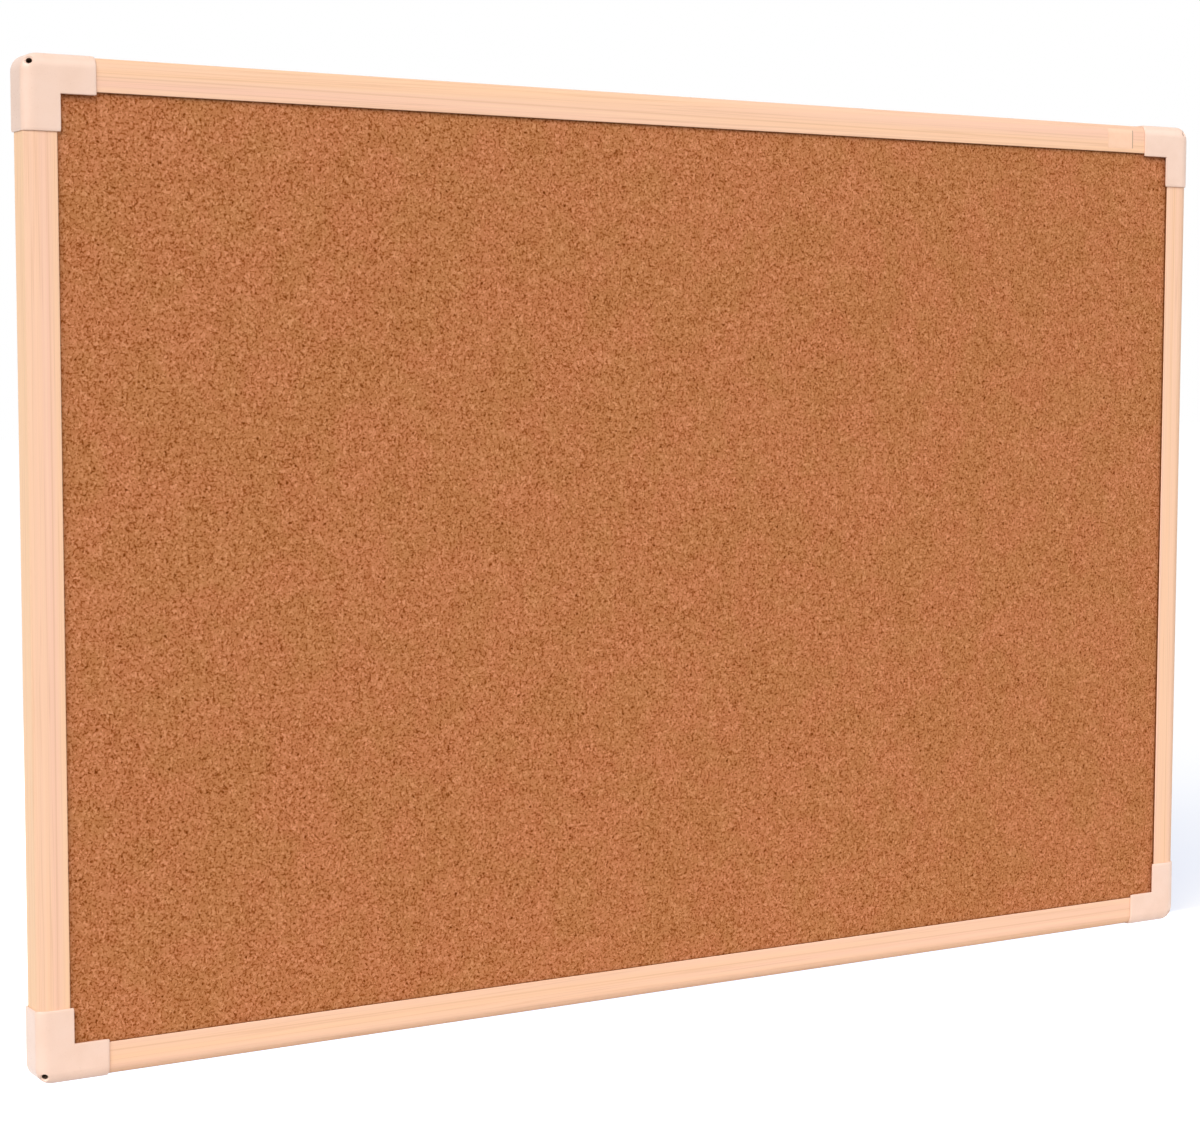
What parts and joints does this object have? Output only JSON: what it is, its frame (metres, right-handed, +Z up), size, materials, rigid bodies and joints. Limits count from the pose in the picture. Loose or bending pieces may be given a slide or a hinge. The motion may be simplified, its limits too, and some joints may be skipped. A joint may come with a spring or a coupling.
{
  "type": "cork board",
  "caption": "Wall-hung cork pin board in a light wood-look frame, with moulded plastic caps over the corners.",
  "frame": {"origin": "centre of the board in the plane of the wall, which the backs of the corner caps rest against", "axes": "+X along the width, to the right seen from the front; +Y into the wall, so the cork faces -Y; +Z up"},
  "size_m": [0.9022, 0.0214, 0.6022],
  "materials": {
    "cork": "agglomerated cork, sanded",
    "softboard": "pressed soft fibreboard, raw",
    "backing_board": "brown kraft board",
    "wood_foil": "light wood-grain foil, satin",
    "moulded_plastic": "moulded, fine satin",
    "zinc_plated_steel": "bright zinc plate"
  },
  "bodies": {
    "root": {"cork_sheet": "cork", "softboard_core": "softboard", "backing_sheet": "backing_board", "rail_top": "wood_foil", "rail_bottom": "wood_foil", "rail_left": "wood_foil", "rail_right": "wood_foil", "corner_cap_top_left": "moulded_plastic", "corner_cap_top_right": "moulded_plastic", "corner_cap_bottom_left": "moulded_plastic", "corner_cap_bottom_right": "moulded_plastic", "cap_screw_top_left_1": "zinc_plated_steel", "cap_screw_top_left_2": "zinc_plated_steel", "cap_screw_top_right_1": "zinc_plated_steel", "cap_screw_top_right_2": "zinc_plated_steel", "cap_screw_bottom_left_1": "zinc_plated_steel", "cap_screw_bottom_left_2": "zinc_plated_steel", "cap_screw_bottom_right_1": "zinc_plated_steel", "cap_screw_bottom_right_2": "zinc_plated_steel"}
  },
  "joints": []
}
